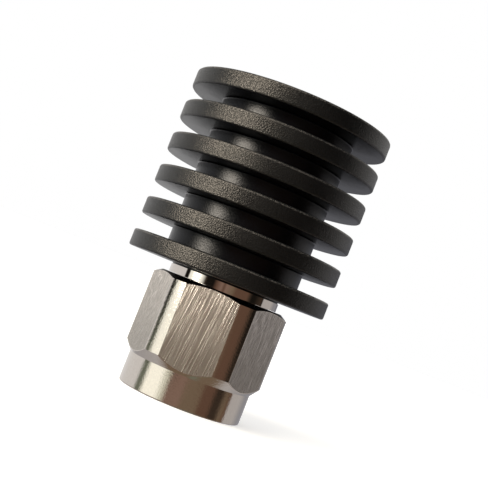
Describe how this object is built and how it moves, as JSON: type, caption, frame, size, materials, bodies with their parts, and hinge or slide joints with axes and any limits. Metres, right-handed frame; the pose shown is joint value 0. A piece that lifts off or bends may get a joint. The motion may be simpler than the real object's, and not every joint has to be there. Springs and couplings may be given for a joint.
{
  "type": "coaxial terminator",
  "caption": "Coaxial terminator: a stack of round black cooling fins on a steel pin connector with a turning hexagonal coupling nut.",
  "frame": {"origin": "centre of the coupling nut's mouth, with the nut pushed back as far as it floats", "axes": "+Z along the axis from the mating end to the finned end; a flat of the nut faces -Y"},
  "size_m": [0.0126, 0.0126, 0.0192],
  "materials": {
    "black_anodised": "bead blasted and black anodised",
    "nut_steel": "turned bright, flats brushed along the axis",
    "spring_bronze": "plain",
    "body_steel": "turned bright",
    "silicone": "matt",
    "ptfe": "waxy white",
    "gold_plate": "gold plated",
    "film_on_ceramic": "metal film on a white rod",
    "tinned_brass": "tinned",
    "brass": "turned"
  },
  "bodies": {
    "terminator": {"heat_sink": "black_anodised", "connector_body": "body_steel", "gasket": "silicone", "insulator_bead": "ptfe", "centre_contact": "gold_plate", "resistor_rod": "film_on_ceramic", "resistor_cap_front": "tinned_brass", "resistor_cap_rear": "tinned_brass", "ground_sleeve": "brass", "end_plug": "body_steel"},
    "ring": {"retaining_ring": "spring_bronze"},
    "nut": {"coupling_nut": "nut_steel"}
  },
  "joints": [
    {"name": "nut_float", "type": "slide", "parent": "terminator", "child": "ring", "axis": [0, 0, -1], "range_m": [0, 0.0003]},
    {"name": "nut_spin", "type": "hinge", "parent": "ring", "child": "nut", "pos_m": [0, 0, 0.0062], "axis": [0, 0, -1], "continuous": true}
  ]
}
